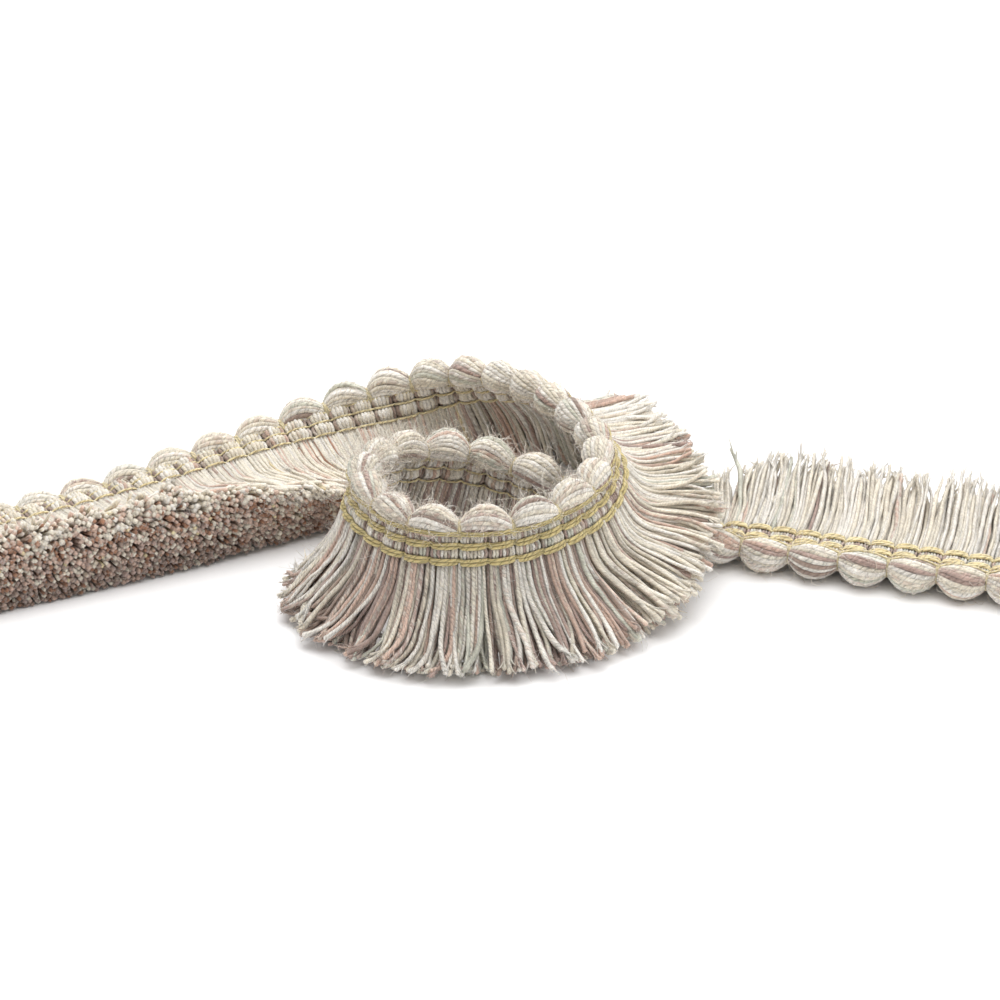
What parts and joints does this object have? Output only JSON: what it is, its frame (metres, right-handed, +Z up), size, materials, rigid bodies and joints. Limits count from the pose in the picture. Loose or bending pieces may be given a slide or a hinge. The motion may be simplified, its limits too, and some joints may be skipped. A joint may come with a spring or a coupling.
{
  "type": "brush fringe trim",
  "caption": "Length of cut brush fringe with a scalloped bead edge and a stitched heading, laid in one loop with both ends lying flat.",
  "frame": {"origin": "on the surface the trim lies on, under the middle of its overall box", "axes": "+X along the long side of the lay, from the left end to the right end, +Y away from the front of the loop, +Z up"},
  "size_m": [0.2384, 0.1073, 0.031],
  "materials": {
    "bead_yarn": "soft two-ply yarn in cream, sage and dusty rose",
    "heading_yarn": "woven yarn bricks under twisted golden olive cords",
    "fringe_yarn": "cut two-ply yarn in cream, sage, taupe and dusty rose with a few golden ends"
  },
  "bodies": {
    "root": {"scallop_edge": "bead_yarn", "heading_tape": "heading_yarn", "fringe_01": "fringe_yarn", "fringe_02": "fringe_yarn", "fringe_03": "fringe_yarn", "fringe_04": "fringe_yarn", "fringe_05": "fringe_yarn", "fringe_06": "fringe_yarn", "fringe_07": "fringe_yarn", "fringe_08": "fringe_yarn", "fringe_09": "fringe_yarn", "fringe_10": "fringe_yarn", "fringe_11": "fringe_yarn", "fringe_12": "fringe_yarn", "fringe_13": "fringe_yarn", "fringe_14": "fringe_yarn"}
  },
  "joints": []
}
